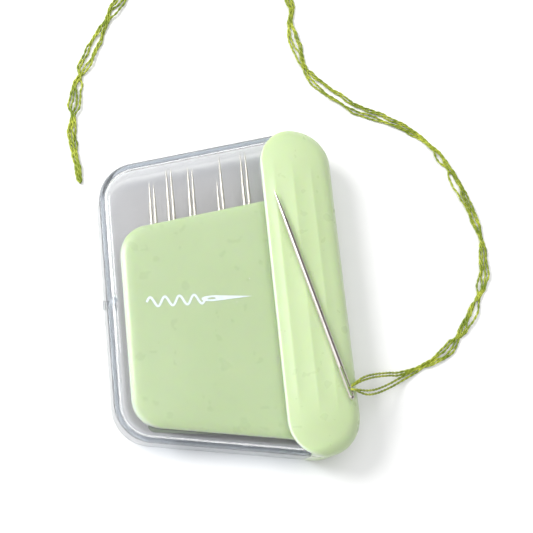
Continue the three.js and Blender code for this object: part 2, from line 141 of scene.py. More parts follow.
def mesh_object(name, vertices, faces):
    mesh = bpy.data.meshes.new(name)
    mesh.from_pydata([tuple(map(float, v)) for v in vertices], [], faces)
    mesh.validate()
    mesh.shade_smooth()
    return link(bpy.data.objects.new(name, mesh))


def rounded_outline(corners, spacing=2.0 * MM, arc_steps=14):
    """Points and outward normals of a closed outline. Corners are (x, y, radius), anticlockwise."""
    points, normals = [], []
    count = len(corners)
    ends = []
    for i, (x, y, radius) in enumerate(corners):
        corner = np.array([x, y])
        back = np.array(corners[i - 1][:2]) - corner
        ahead = np.array(corners[(i + 1) % count][:2]) - corner
        back /= np.linalg.norm(back)
        ahead /= np.linalg.norm(ahead)
        half_angle = math.acos(float(back @ ahead)) / 2
        bisector = (back + ahead) / np.linalg.norm(back + ahead)
        centre = corner + bisector * radius / math.sin(half_angle)
        turn = math.pi - 2 * half_angle
        first = math.atan2(-bisector[1], -bisector[0]) - turn / 2
        angles = first + turn * np.linspace(0, 1, arc_steps + 1)
        ends.append([(centre + radius * np.array([math.cos(a), math.sin(a)]), a) for a in angles])
    for i, arc in enumerate(ends):
        for point, angle in arc:
            points.append(point)
            normals.append([math.cos(angle), math.sin(angle)])
        start, finish = arc[-1][0], ends[(i + 1) % count][0][0]
        pieces = max(1, int(np.linalg.norm(finish - start) / spacing))
        for step in range(1, pieces):
            points.append(start + (finish - start) * step / pieces)
            normals.append([math.cos(arc[-1][1]), math.sin(arc[-1][1])])
    return np.array(points), np.array(normals)


def stadium_outline(centre_x, half_width, half_length, spacing=1.2 * MM, arc_steps=48):
    corners = [
        (centre_x - half_width, -half_length, half_width),
        (centre_x + half_width, -half_length, half_width),
        (centre_x + half_width, half_length, half_width),
        (centre_x - half_width, half_length, half_width),
    ]
    return rounded_outline(corners, spacing, arc_steps // 2)


def loft(name, rings):
    """A closed solid through rings of equal point counts, from the lowest ring to the highest."""
    count = len(rings[0])
    vertices = np.concatenate(rings)
    faces = [tuple(reversed(range(count)))]
    for level in range(len(rings) - 1):
        low, high = level * count, (level + 1) * count
        for i in range(count):
            j = (i + 1) % count
            faces.append((low + i, low + j, high + j, high + i))
    top = (len(rings) - 1) * count
    faces.append(tuple(range(top, top + count)))
    return mesh_object(name, vertices, faces)


def edge_profile(z0, z1, bottom, top, steps=7):
    """(inset, height) pairs up a wall whose edges are elliptical: bottom and top are (inset, rise)."""
    quarter = np.linspace(0, math.pi / 2, steps + 1)
    low = [(bottom[0] * (1 - math.sin(a)), z0 + bottom[1] * (1 - math.cos(a))) for a in quarter]
    high = [(top[0] * (1 - math.cos(a)), z1 - top[1] * (1 - math.sin(a))) for a in quarter]
    return [(bottom[0] + FLAT_MARGIN, z0)] + low + high + [(top[0] + FLAT_MARGIN, z1)]


def rounded_prism(name, outline, z0, z1, bottom, top):
    points, normals = outline
    rings = []
    for inset, z in edge_profile(z0, z1, bottom, top):
        ring = points - normals * inset
        rings.append(np.column_stack([ring, np.full(len(ring), z)]))
    return loft(name, rings)


def box_cutter(x0, x1, y0, y1, z0, z1):
    corners = [(x, y, z) for z in (z0, z1) for x, y in ((x0, y0), (x1, y0), (x1, y1), (x0, y1))]
    faces = [(3, 2, 1, 0), (4, 5, 6, 7), (0, 1, 5, 4), (1, 2, 6, 5), (2, 3, 7, 6), (3, 0, 4, 7)]
    return mesh_object("cutter", corners, faces)


def upright_cylinder(x, y, z0, z1, radius, sides=32):
    angles = np.linspace(0, 2 * math.pi, sides, endpoint=False)
    ring = np.column_stack([x + radius * np.cos(angles), y + radius * np.sin(angles)])
    return loft("cutter", [np.column_stack([ring, np.full(sides, z)]) for z in (z0, z1)])


def combine(target, tool, operation):
    """Joins the tool to the target, or cuts it away, and removes the tool."""
    modifier = target.modifiers.new("combine", "BOOLEAN")
    modifier.operation = operation
    modifier.solver = "EXACT"
    modifier.object = tool
    apply_modifiers(target)
    bpy.data.objects.remove(tool)


def apply_modifiers(obj):
    graph = bpy.context.evaluated_depsgraph_get()
    mesh = bpy.data.meshes.new_from_object(obj.evaluated_get(graph))
    obj.modifiers.clear()
    obj.data = mesh


def keep_flats_flat(obj):
    """Weights the normals by face area, so that large flat faces shade flat beside round edges."""
    obj.data.shade_smooth()
    modifier = obj.modifiers.new("weighted normals", "WEIGHTED_NORMAL")
    modifier.mode = "FACE_AREA_WITH_ANGLE"
    modifier.weight = 80
    modifier.keep_sharp = True


def mark_sharp_by_angle(obj, degrees):
    obj.data.set_sharp_from_angle(angle=math.radians(degrees))


def smoothstep(value, low, high):
    t = np.clip((value - low) / (high - low), 0, 1)
    return t * t * (3 - 2 * t)


# ---- Material helpers -------------------------------------------------------------------------

class Shader:
    """A node material with one Principled surface, and short ways to wire textures into it."""

    def __init__(self, name, **inputs):
        self.material = bpy.data.materials.new(name)
        self.material.use_nodes = True
        self.tree = self.material.node_tree
        self.tree.nodes.clear()
        self.output = self.add("ShaderNodeOutputMaterial")
        self.surface = self.add("ShaderNodeBsdfPrincipled")
        self.wire(self.surface.outputs["BSDF"], self.output.inputs["Surface"])
        for label, value in inputs.items():
            self.surface.inputs[label.replace("_", " ")].default_value = value

    def add(self, kind, **inputs):
        new = self.tree.nodes.new(kind)
        for label, value in inputs.items():
            new.inputs[label.replace("_", " ")].default_value = value
        return new

    def wire(self, source, target):
        self.tree.links.new(source, target)

    def coordinates(self, stretch=(1, 1, 1), turn=0.0):
        place = self.add("ShaderNodeTexCoord")
        mapping = self.add("ShaderNodeMapping", Scale=stretch, Rotation=(0, 0, turn))
        self.wire(place.outputs["Object"], mapping.inputs["Vector"])
        return mapping.outputs["Vector"]

    def noise(self, scale, detail=3.0, stretch=(1, 1, 1), turn=0.0):
        texture = self.add("ShaderNodeTexNoise", Scale=scale, Detail=detail)
        self.wire(self.coordinates(stretch, turn), texture.inputs["Vector"])
        return texture.outputs["Fac"]

    def spots(self, scale, size):
        """A mask that is 1 in small round spots scattered at the given scale."""
        texture = self.add("ShaderNodeTexVoronoi", Scale=scale)
        self.wire(self.coordinates(), texture.inputs["Vector"])
        return self.ramp(texture.outputs["Distance"], size, size * 0.7)

    def ramp(self, source, low, high, to_low=0.0, to_high=1.0):
        spread = self.add("ShaderNodeMapRange")
        spread.inputs["From Min"].default_value = low
        spread.inputs["From Max"].default_value = high
        spread.inputs["To Min"].default_value = to_low
        spread.inputs["To Max"].default_value = to_high
        self.wire(source, spread.inputs["Value"])
        return spread.outputs["Result"]

    def multiply(self, first, second):
        product = self.add("ShaderNodeMath")
        product.operation = "MULTIPLY"
        self.wire(first, product.inputs[0])
        self.wire(second, product.inputs[1])
        return product.outputs["Value"]

    def larger(self, first, second):
        pick = self.add("ShaderNodeMath")
        pick.operation = "MAXIMUM"
        self.wire(first, pick.inputs[0])
        self.wire(second, pick.inputs[1])
        return pick.outputs["Value"]

    def mix_colours(self, factor, first, second):
        mix = self.add("ShaderNodeMix")
        mix.data_type = "RGBA"
        self.wire(factor, mix.inputs["Factor"])
        for socket, colour in ((mix.inputs["A"], first), (mix.inputs["B"], second)):
            if isinstance(colour, tuple):
                socket.default_value = (*colour, 1)
            else:
                self.wire(colour, socket)
        return mix.outputs["Result"]

    def colour(self, socket):
        self.wire(socket, self.surface.inputs["Base Color"])

    def roughness(self, socket):
        self.wire(socket, self.surface.inputs["Roughness"])

    def bump(self, height, strength, distance):
        bump = self.add("ShaderNodeBump", Strength=strength, Distance=distance)
        self.wire(height, bump.inputs["Height"])
        self.wire(bump.outputs["Normal"], self.surface.inputs["Normal"])


def clear_plastic():
    """Clear moulded styrene with dust and hair scratches, and a grey tint on its floor as painted shade.

    Light that falls on things inside goes straight through it, dimmed a little at each face. A small
    share of the view through an upright face isn't bent either, which keeps the rims from going black.
    """
    shader = Shader("clear_plastic", Transmission_Weight=1.0, IOR=1.5)
    place = shader.add("ShaderNodeSeparateXYZ")
    shader.wire(shader.coordinates(), place.inputs["Vector"])
    # The floor is tinted grey: painted shade that darkens the inside floor seen through the case.
    upper = shader.ramp(place.outputs["Z"], 2 * SLEEVE_FLOOR, 3 * SLEEVE_FLOOR)
    shader.colour(shader.mix_colours(upper, (0.89, 0.875, 0.86), (0.99, 0.985, 0.98)))
    scratches = shader.ramp(shader.noise(260, 4, (1, 14, 1), 0.5), 0.60, 0.66, 0.012, 0.05)
    shader.roughness(scratches)
    path = shader.add("ShaderNodeLightPath")
    light_ray = shader.larger(path.outputs["Is Shadow Ray"], path.outputs["Is Diffuse Ray"])
    geometry = shader.add("ShaderNodeNewGeometry")
    split = shader.add("ShaderNodeSeparateXYZ")
    shader.wire(geometry.outputs["Normal"], split.inputs["Vector"])
    steepness = shader.add("ShaderNodeMath")
    steepness.operation = "ABSOLUTE"
    shader.wire(split.outputs["Z"], steepness.inputs[0])
    flat = shader.ramp(steepness.outputs["Value"], *LEVEL_FACES)
    open_air = shader.add("ShaderNodeBsdfTransparent")
    level_light = shader.mix_colours(upper, FLOOR_LIGHT, LID_LIGHT)
    shader.wire(shader.mix_colours(flat, WALL_LIGHT, level_light), open_air.inputs["Color"])
    dust = shader.add("ShaderNodeMixShader")
    shader.wire(shader.spots(110, 0.013), dust.inputs["Fac"])
    shader.wire(shader.surface.outputs["BSDF"], dust.inputs[1])
    specks = shader.add("ShaderNodeBsdfDiffuse", Color=(0.9, 0.9, 0.9, 1))
    shader.wire(specks.outputs["BSDF"], dust.inputs[2])
    mix = shader.add("ShaderNodeMixShader")
    unbent = shader.ramp(steepness.outputs["Value"], *LEVEL_FACES, WALL_HAZE, 0.0)
    shader.wire(shader.larger(light_ray, unbent), mix.inputs["Fac"])
    shader.wire(dust.outputs["Shader"], mix.inputs[1])
    shader.wire(open_air.outputs["BSDF"], mix.inputs[2])
    shader.wire(mix.outputs["Shader"], shader.output.inputs["Surface"])
    depth = shader.add("ShaderNodeVolumeAbsorption", Color=(0.72, 0.77, 0.82, 1), Density=160)
    shader.wire(depth.outputs["Volume"], shader.output.inputs["Volume"])
    return shader.material


def green_plastic():
    """Satin pastel plastic: faintly cloudy, with a few pin marks and a painted highlight on its left-hand
    edges.
    """
    shader = Shader(
        "green_plastic", Subsurface_Weight=0.7, Subsurface_Radius=(0.7, 1.0, 0.35),
        Subsurface_Scale=1.1 * MM, IOR=1.5,
    )
    clouds = shader.ramp(shader.noise(70, 3), 0.35, 0.65)
    tone = shader.mix_colours(clouds, (0.512, 0.626, 0.364), (0.536, 0.650, 0.388))
    marks = shader.spots(190, 0.025)
    marked = shader.mix_colours(marks, tone, (0.44, 0.55, 0.30))
    geometry = shader.add("ShaderNodeNewGeometry")
    facing = shader.add("ShaderNodeVectorMath")
    facing.operation = "DOT_PRODUCT"
    facing.inputs[1].default_value = PAINTED_HIGHLIGHT_DIRECTION
    shader.wire(geometry.outputs["Normal"], facing.inputs[0])
    # Faces turned to the left and the near side are mixed towards white: a painted highlight for the bright
    # room reflected at those edges.
    painted_edge_highlight = shader.ramp(facing.outputs["Value"], 0.45, 0.85, 0.0, 0.5)
    shader.colour(shader.mix_colours(painted_edge_highlight, marked, (0.93, 0.97, 0.97)))
    shader.roughness(shader.ramp(shader.noise(300, 2), 0.3, 0.7, 0.27, 0.30))
    shader.bump(shader.noise(2600, 2), 0.02, 0.02 * MM)
    return shader.material


def print_ink():
    """Pale pad-printed ink whose cover is a little uneven."""
    shader = Shader("print_ink", Roughness=0.5)
    cover = shader.ramp(shader.noise(1500, 2), 0.25, 0.5)
    shader.colour(shader.mix_colours(cover, (0.72, 0.84, 0.80), (0.84, 0.92, 0.95)))
    shader.bump(shader.noise(4000, 2), 0.05, 0.02 * MM)
    return shader.material


def needle_steel(name, dark, pale, polish):
    """Nickel-plated steel with fine streaks; polish is the lowest and highest roughness."""
    shader = Shader(name, Metallic=1.0)
    streaks = shader.noise(1400, 3, (1, 0.06, 1))
    shader.colour(shader.mix_colours(streaks, dark, pale))
    shader.roughness(shader.ramp(streaks, 0.3, 0.7, *polish))
    shader.bump(streaks, 0.05, 0.02 * MM)
    return shader.material


def magnet_sheet():
    """Flexible magnet with a fine calendered grain; its matt grey-green tone is painted shade, matched to
    the shaded band where the sheet shows past the plate's near edge.
    """
    shader = Shader("magnet_sheet", Roughness=0.75)
    grain = shader.noise(1800, 4)
    shader.colour(shader.mix_colours(grain, (0.14, 0.165, 0.13), (0.19, 0.215, 0.175)))
    shader.bump(grain, 0.25, 0.06 * MM)
    return shader.material


def magnet_bar():
    """Nickel-plated magnet with a brushed face."""
    shader = Shader("magnet_bar", Metallic=1.0)
    streaks = shader.noise(900, 3, (8, 0.3, 1))
    shader.colour(shader.mix_colours(streaks, (0.50, 0.49, 0.47), (0.66, 0.65, 0.62)))
    shader.roughness(shader.ramp(streaks, 0.3, 0.7, 0.25, 0.4))
    return shader.material


def cotton_floss():
    """Mercerised cotton, dyed unevenly along its length, with painted shade darkening the lay between the
    plies.
    """
    shader = Shader("cotton_floss", Roughness=0.5, Sheen_Weight=0.25, Sheen_Roughness=0.4)
    shader.surface.inputs["Sheen Tint"].default_value = (0.8, 0.9, 0.3, 1)
    # Each ply is darkened where it turns inwards into the lay: painted shade, read from the attribute that
    # ply_mesh writes.
    painted_ply_shade = shader.add("ShaderNodeAttribute")
    painted_ply_shade.attribute_name = "painted_ply_shade"
    fibres = shader.noise(4200, 3)
    painted_shade_and_fibres = shader.multiply(
        shader.ramp(painted_ply_shade.outputs["Fac"], 0.15, 0.85, 0.3, 1.0), shader.ramp(fibres, 0.3, 0.6, 0.35, 1.0),
    )
    drift = shader.ramp(shader.noise(330, 2), 0.36, 0.66)
    pale = shader.mix_colours(drift, (0.22, 0.30, 0.018), (0.60, 0.66, 0.07))
    shader.colour(shader.mix_colours(painted_shade_and_fibres, (0.075, 0.12, 0.004), pale))
    shader.bump(fibres, 0.4, 0.05 * MM)
    return shader.material


def table_top():
    """White card with the faintest tooth."""
    shader = Shader("table_top", Roughness=0.85)
    fine = shader.noise(300, 3)
    shader.colour(shader.mix_colours(fine, (0.89, 0.89, 0.89), (0.91, 0.91, 0.91)))
    return shader.material


# ---- Clear sleeve -------------------------------------------------------------------------------

def sleeve_outline(inset, corner):
    slant_inset = inset * math.hypot(1, SLEEVE_TAPER)
    closed_x = sleeve_low.x + GATE_HEIGHT + inset
    end_x = sleeve_high.x + PAST_MOUTH

    def half_width(x):
        return sleeve_high.y - SLEEVE_TAPER * (sleeve_high.x - x) - slant_inset

    return rounded_outline([
        (closed_x, -half_width(closed_x), corner),
        (end_x, -half_width(end_x), SLEEVE_EDGE * 1.5),
        (end_x, half_width(end_x), SLEEVE_EDGE * 1.5),
        (closed_x, half_width(closed_x), corner),
    ], arc_steps=20)


def clear_sleeve():
    z0, z1 = sleeve_low.z, sleeve_high.z
    edge = (SLEEVE_EDGE, SLEEVE_EDGE)
    inner_edge = (SLEEVE_INNER_EDGE, SLEEVE_INNER_EDGE)
    sleeve = rounded_prism("needle_case_sleeve", sleeve_outline(0, SLEEVE_CORNER), z0, z1, edge, edge)
    cavity = rounded_prism(
        "cutter", sleeve_outline(SLEEVE_WALL, SLEEVE_CORNER - SLEEVE_WALL),
        z0 + SLEEVE_FLOOR, z1 - SLEEVE_FLOOR, inner_edge, inner_edge,
    )
    inner_x = sleeve_low.x + GATE_HEIGHT + SLEEVE_WALL
    combine(cavity, upright_cylinder(inner_x, 0, -z1, 2 * z1, RIB_RADIUS), "DIFFERENCE")
    combine(sleeve, cavity, "DIFFERENCE")
    beyond = box_cutter(sleeve_high.x, sleeve_high.x + 3 * PAST_MOUTH, -FAR, FAR, z0 - MM, z1 + MM)
    combine(sleeve, beyond, "DIFFERENCE")
    combine(sleeve, gate_mark((z0 + z1) / 2), "UNION")
    mark_sharp_by_angle(sleeve, 35)
    keep_flats_flat(sleeve)
    return sleeve


def gate_mark(height):
    """The sheared stub where the mould was filled: a low disc with a softened rim."""
    angles = np.linspace(0, 2 * math.pi, 28, endpoint=False)
    rings = []
    for stand_off, share in [(-GATE_ROOT / GATE_HEIGHT, 1.0)] + GATE_PROFILE:
        x = sleeve_low.x + GATE_HEIGHT * (1 - stand_off)
        radius = GATE_RADIUS * share
        ring = [(x, -radius * math.cos(a), height + radius * math.sin(a)) for a in angles]
        rings.append(np.array(ring))
    return loft("cutter", rings)


# ---- Drawer plate -------------------------------------------------------------------------------

def plate_upper_edge(x, inset=0.0):
    return plate_high.y - inset - PLATE_TAPER * (plate_end_x - x)


def plate_outline(right_x):
    def lower_edge(x):
        return plate_low.y + PLATE_TAPER * (plate_end_x - x)

    left_x = plate_low.x
    return rounded_outline([
        (left_x, lower_edge(left_x), PLATE_CORNER), (right_x, lower_edge(right_x), PLATE_CORNER),
        (right_x, plate_upper_edge(right_x), PLATE_CORNER), (left_x, plate_upper_edge(left_x), PLATE_CORNER),
    ], arc_steps=20)


def sheet_recess_outline():
    """Room for the magnetic sheet, which stands out past the plate's near edge as a dark strip that paints
    the shade under that edge.
    """
    left_x = sheet_low.x - SHEET_MARGIN
    right_x = sheet_high.x + SHEET_MARGIN
    beyond_y = plate_low.y - SHEET_MARGIN
    inset = left_x - plate_low.x
    return rounded_outline([
        (left_x, beyond_y, SHEET_MARGIN), (right_x, beyond_y, SHEET_MARGIN),
        (right_x, plate_upper_edge(right_x, inset), 3 * SHEET_MARGIN),
        (left_x, plate_upper_edge(left_x, inset), SHEET_CORNER),
    ])


def drawer_plate():
    z0, z1 = plate_low.z, plate_high.z
    plate = rounded_prism(
        "needle_drawer_plate", plate_outline(plate_end_x + 2 * PLATE_CORNER),
        z0, z1, PLATE_LOWER_EDGE, PLATE_UPPER_EDGE,
    )
    beyond = box_cutter(plate_end_x, plate_end_x + 4 * PLATE_CORNER, -FAR, FAR, z0 - MM, z1 + MM)
    combine(plate, beyond, "DIFFERENCE")
    tongue = box_cutter(plate_end_x - TONGUE_OVERLAP, plate_high.x, *TONGUE_Y, z0, z1)
    combine(plate, tongue, "UNION")
    recess = rounded_prism(
        "cutter", sheet_recess_outline(), z0 - MM, sheet_high.z + SHEET_MARGIN, (0, 0), (0, 0),
    )
    combine(plate, recess, "DIFFERENCE")
    mark_sharp_by_angle(plate, 40)
    keep_flats_flat(plate)
    return plate


# ---- Grip ---------------------------------------------------------------------------------------

def grip_surface(x, y):
    """Height of the grip's upper face: a crown scalloped into flutes that fade towards its ends."""
    centre_x = (grip_low.x + grip_high.x) / 2
    crown_z = grip_high.z
    crown = crown_z - GRIP_CROWN_RADIUS + np.sqrt(GRIP_CROWN_RADIUS**2 - (x - centre_x) ** 2)
    across = (x - FLUTE_FIRST) / FLUTE_PITCH
    from_middle = (across - np.floor(across) - 0.5) * 2
    rounded = np.sqrt((1 - np.abs(from_middle)) ** 2 + RIDGE_SOFTNESS**2)
    scallop = FLUTE_DEPTH * (1 - (1 - rounded) ** 2)
    fade = 1 - smoothstep(np.abs(y), *FLUTE_FADE)
    end_fall = GRIP_END_FALL * smoothstep(np.abs(y), *GRIP_END_REACH) ** 1.5
    return crown - scallop * fade - end_fall


def grip_solid(name):
    """The whole grip outside: rings run inwards from its outline, with one on each flute's ridge."""
    centre_x = (grip_low.x + grip_high.x) / 2
    half_width = (grip_high.x - grip_low.x) / 2
    points, normals = stadium_outline(centre_x, half_width, grip_high.y)
    softness = smoothstep(normals[:, 0], -0.75, 0.35)
    edge = CRISP_EDGE + (SOFT_EDGE - CRISP_EDGE) * softness
    rings = []
    for angle in np.linspace(0, math.pi / 2, 5):
        inset = GRIP_LOWER_EDGE * (1 - math.sin(angle))
        height = GRIP_LOWER_EDGE * (1 - math.cos(angle))
        rings.append(np.column_stack([points - normals * inset, np.full(len(points), height)]))
    insets = list(CRISP_EDGE * (1 - np.cos(np.linspace(0, math.pi / 2, 7))))
    insets += list(np.linspace(CRISP_EDGE, half_width, 40)[1:])
    for ridge in range(1, FLUTE_COUNT):
        from_centre = abs(FLUTE_FIRST + ridge * FLUTE_PITCH - centre_x)
        insets += [half_width - from_centre + step for step in (-RIDGE_ROUNDING, 0, RIDGE_ROUNDING)]
    for inset in sorted(insets):
        ring = points - normals * inset
        along = np.clip(1 - inset / edge, 0, 1)
        drop = EDGE_DROP * edge * (1 - np.sqrt(1 - along**2))
        rings.append(np.column_stack([ring, grip_surface(ring[:, 0], ring[:, 1]) - drop]))
    solid = loft(name, rings)
    weld(solid)
    return solid


def weld(obj):
    """Joins vertices that coincide, such as the two sides of a ring that has closed to a line."""
    shape = bmesh.new()
    shape.from_mesh(obj.data)
    bmesh.ops.remove_doubles(shape, verts=shape.verts, dist=0.001 * MM)
    bmesh.ops.dissolve_degenerate(shape, edges=shape.edges, dist=0.001 * MM)
    shape.to_mesh(obj.data)
    shape.free()


def pocket_cutter(z0, z1):
    half_length = GRIP_POCKET_HALF_LENGTH
    front_x, back_x = base_low.x + GRIP_WALL, base_high.x - GRIP_OUTER_WALL
    return box_cutter(front_x, back_x, -half_length, half_length, z0, z1)


def grip_top():
    parting = grip_low.z
    top = grip_solid("grip_upper_half")
    combine(top, box_cutter(0, FAR, -FAR, FAR, -MM, parting + GRIP_SEAM), "DIFFERENCE")
    lip_z = sleeve_high.z + GRIP_LIP_GAP
    combine(top, box_cutter(0, base_low.x, -FAR, FAR, -MM, lip_z), "DIFFERENCE")
    combine(top, pocket_cutter(-MM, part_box("grip_magnet_bar")[1].z + GRIP_SEAM), "DIFFERENCE")
    slot = box_cutter(
        base_low.x - MM, base_low.x + GRIP_WALL + MM,
        TONGUE_Y[0] - TONGUE_SIDE_PLAY, TONGUE_Y[1] + TONGUE_SIDE_PLAY,
        -MM, plate_high.z + TONGUE_TOP_PLAY,
    )
    combine(top, slot, "DIFFERENCE")
    mark_sharp_by_angle(top, 32)
    keep_flats_flat(top)
    return top


def grip_bottom():
    parting = grip_low.z
    bottom = grip_solid("grip_lower_half")
    combine(bottom, box_cutter(0, FAR, -FAR, FAR, parting - GRIP_SEAM, FAR), "DIFFERENCE")
    combine(bottom, box_cutter(0, base_low.x, -FAR, FAR, -MM, FAR), "DIFFERENCE")
    combine(bottom, pocket_cutter(GRIP_WALL, FAR), "DIFFERENCE")
    mark_sharp_by_angle(bottom, 32)
    keep_flats_flat(bottom)
    return bottom


# ---- Needles ------------------------------------------------------------------------------------

def needle(name, node, kind):
    """A needle along the CAD needle's own line, with a drilled eye, a taper and a fine point."""
    cad = np.array([v.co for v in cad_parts[node].data.vertices])
    low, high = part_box(node)
    tip = cad[cad[:, 1].argmax()]
    end = cad[cad[:, 1].argmin()]
    axis = (end - tip)[:2]
    length = float(np.linalg.norm(axis))
    head = (high.z - low.z) / 2
    shank = THREADED_SHANK if kind == "threaded" else head
    eye = EYE_LENGTH[kind]
    profile = [(share * length, radius * shank) for share, radius in TAPER]
    profile += [(length - 2.0 * eye, shank), (length - 1.5 * eye, shank + (head - shank) * 0.5)]
    profile += [(length - 1.1 * eye, head), (length - 0.4 * eye, head)]
    cap = head * 0.95
    for angle in np.linspace(0, math.pi / 2, 7)[:-1]:
        profile.append((length - cap * (1 - math.sin(angle)), cap * math.cos(angle)))
    profile.append((length, head * 0.02))
    sides = 28
    angles = np.linspace(0, 2 * math.pi, sides, endpoint=False)
    rings = []
    for along, radius in profile:
        ring = np.column_stack([
            radius * np.cos(angles), np.full(sides, -along), radius * np.sin(angles),
        ])
        rings.append(ring)
    shaft = loft(name, rings[::-1])
    slot_end = -length + head + EYE_HALF_WIDTH[kind] * 0.6
    half = EYE_HALF_WIDTH[kind]
    slot_points, slot_normals = stadium_outline(0, half, eye / 2, 0.6 * MM, 16)
    slot_points[:, 1] += slot_end + eye / 2
    slot = loft("cutter", [
        np.column_stack([slot_points + slot_normals * flare * half, np.full(len(slot_points), z)])
        for z, flare in ((-2 * head, 1.6), (-head * 0.55, 0), (head * 0.55, 0), (2 * head, 1.6))
    ])
    combine(shaft, slot, "DIFFERENCE")
    turn = math.atan2(axis[0], -axis[1])
    place = Matrix.Translation((tip[0], tip[1], (low.z + high.z) / 2)) @ Matrix.Rotation(turn, 4, "Z")
    shaft.data.transform(place)
    mark_sharp_by_angle(shaft, 38)
    return shaft


# ---- Floss --------------------------------------------------------------------------------------

STRAND_COUNT = 4
PLY_RADIUS = 0.165 * MM
PLY_LAY_RADIUS = 0.105 * MM
PLY_PITCH = 2.9 * MM
PLY_SIDES = 6
SAMPLE_STEP = 0.17 * MM
TABLE_CLEARANCE = 0.30 * MM
STACK_HEIGHT = 0.38 * MM  # how high one strand rides where it crosses another

# Places along the floss, and distances across it, are in millimetres until strand_path scales them.

# From the eye, over the grip's edge to the table: the two upper strands, then the two lower.
FROM_EYE = {
    "upper": [
        (23.7, -22.6, 14.3), (24.4, -22.1, 14.0), (25.5, -21.5, 13.4), (28.1, -20.4, 11.3),
        (31.7, -19.5, 7.8), (36.2, -18.9, 3.8), (39.0, -18.7, 1.6),
    ],
    "lower": [
        (23.8, -22.9, 14.6), (24.6, -23.0, 14.7), (25.8, -23.2, 13.6), (28.5, -23.4, 10.9),
        (31.9, -22.8, 7.4), (36.3, -21.3, 3.4), (39.6, -19.9, 1.3),
    ],
}
PAIR_GAP = {"upper": 0.62, "lower": 0.85}  # between the two strands of a pair

# On the table: round the grip's side, past the far end of the case, and back down its other side.
ON_TABLE = [
    (42.2, -18.6), (45.8, -17.1), (50.4, -15.0), (54.4, -11.4), (57.8, -7.4), (60.7, -2.8),
    (62.9, 2.3), (63.8, 7.4), (63.7, 12.6), (62.1, 19.2), (60.3, 24.2), (58.2, 29.4),
    (55.0, 34.6), (50.6, 38.6), (46.3, 41.0), (41.2, 43.3), (37.2, 45.0), (33.0, 48.1),
    (28.9, 51.4), (26.2, 55.4), (24.7, 61.0), (23.9, 66.0), (24.5, 72.0), (21.5, 80.5),
    (12.0, 86.2), (0.0, 86.0), (-9.6, 80.6), (-16.6, 72.4), (-20.8, 65.6), (-24.0, 59.4),
    (-26.6, 54.1), (-28.0, 48.4), (-28.8, 44.0), (-29.2, 40.0), (-28.7, 35.4), (-28.0, 29.0),
]

# How far the strands lie to each side of the middle: shapes that the bundle takes in turn.
GATHERED = (-0.42, -0.15, 0.15, 0.42)
SNUG = (-0.75, -0.35, 0.30, 0.75)
OPEN = (-1.15, -0.50, 0.40, 1.10)
PAIRS = (-1.05, -0.65, 0.70, 1.10)
ONE_RIGHT = (-1.10, 0.15, 0.50, 0.80)
ONE_LEFT = (-0.90, -0.60, -0.20, 1.05)
ALONG_TABLE = [  # (distance from the start of ON_TABLE, shape)
    (0, GATHERED), (3, GATHERED), (7, SNUG), (9.5, OPEN), (12, OPEN), (15, GATHERED), (17, SNUG),
    (20.5, ONE_RIGHT), (23, ONE_RIGHT), (26, GATHERED), (28.5, ONE_LEFT), (31, OPEN), (34, SNUG),
    (37, SNUG), (41, GATHERED), (45, SNUG), (48.5, SNUG), (51, OPEN), (54, ONE_LEFT), (56.5, ONE_LEFT),
    (58.5, GATHERED), (62, ONE_LEFT), (65, GATHERED), (68.5, GATHERED), (72, SNUG), (76, SNUG),
    (79.5, OPEN), (82, OPEN), (84.5, PAIRS), (88.5, PAIRS), (92, PAIRS), (95, PAIRS), (98.5, OPEN),
    (101.5, GATHERED), (104.5, ONE_LEFT), (107, OPEN), (110, OPEN), (112.5, GATHERED),
    (115, GATHERED), (118, SNUG), (124, OPEN), (130, GATHERED), (136, OPEN), (143, SNUG),
    (149, GATHERED), (155, OPEN), (161, SNUG), (165, GATHERED), (168, OPEN), (171.5, OPEN),
    (175, ONE_LEFT), (177.5, GATHERED), (180, SNUG), (183, PAIRS), (187, PAIRS), (190.5, OPEN),
    (193, GATHERED), (195.5, ONE_LEFT), (198, OPEN), (200.5, OPEN), (203, GATHERED), (206, SNUG),
    (209, SNUG), (211.5, GATHERED),
]
LOOP_REACH = 2.0  # the strands close up over this length at the tail
SHAPE_JITTER = 0.07  # how far a strand strays from its place in a shape
WANDER = [(0.09, 5.3), (0.05, 2.9)]  # (how far a strand sways, over what length)
STACKING_WAVE = 13  # length over which a strand rises above the others and goes under again
EYE_REACH_X = 41.0 * MM  # the floss follows the picked-up needle up to here


def smooth_path(points, step):
    """A curve through the points, sampled at an even step."""
    points = np.array(points, float)
    padded = np.vstack([2 * points[0] - points[1], points, 2 * points[-1] - points[-2]])
    dense = []
    for i in range(len(points) - 1):
        p0, p1, p2, p3 = padded[i:i + 4]
        for t in np.linspace(0, 1, 24, endpoint=False):
            dense.append(0.5 * (
                2 * p1 + (p2 - p0) * t + (2 * p0 - 5 * p1 + 4 * p2 - p3) * t**2
                + (3 * p1 - p0 - 3 * p2 + p3) * t**3
            ))
    dense.append(points[-1])
    dense = np.array(dense)
    lengths = path_lengths(dense)
    even = np.linspace(0, lengths[-1], max(2, int(lengths[-1] / step)))
    return np.column_stack([np.interp(even, lengths, dense[:, k]) for k in range(3)])


def path_lengths(path):
    return np.concatenate([[0], np.cumsum(np.linalg.norm(np.diff(path, axis=0), axis=1))])


def strand_offsets():
    """Each strand's place across the bundle at each shape; strands trade places where it gathers."""
    rng = np.random.default_rng(11)
    order = [3, 2, 1, 0]
    rows = []
    for _, shape in ALONG_TABLE:
        if shape is GATHERED and rows:
            first = int(rng.integers(0, STRAND_COUNT - 1))
            order[first], order[first + 1] = order[first + 1], order[first]
        jitter = rng.normal(0, SHAPE_JITTER, STRAND_COUNT)
        rows.append([shape[order[k]] + jitter[k] for k in range(STRAND_COUNT)])
    return np.array(rows)


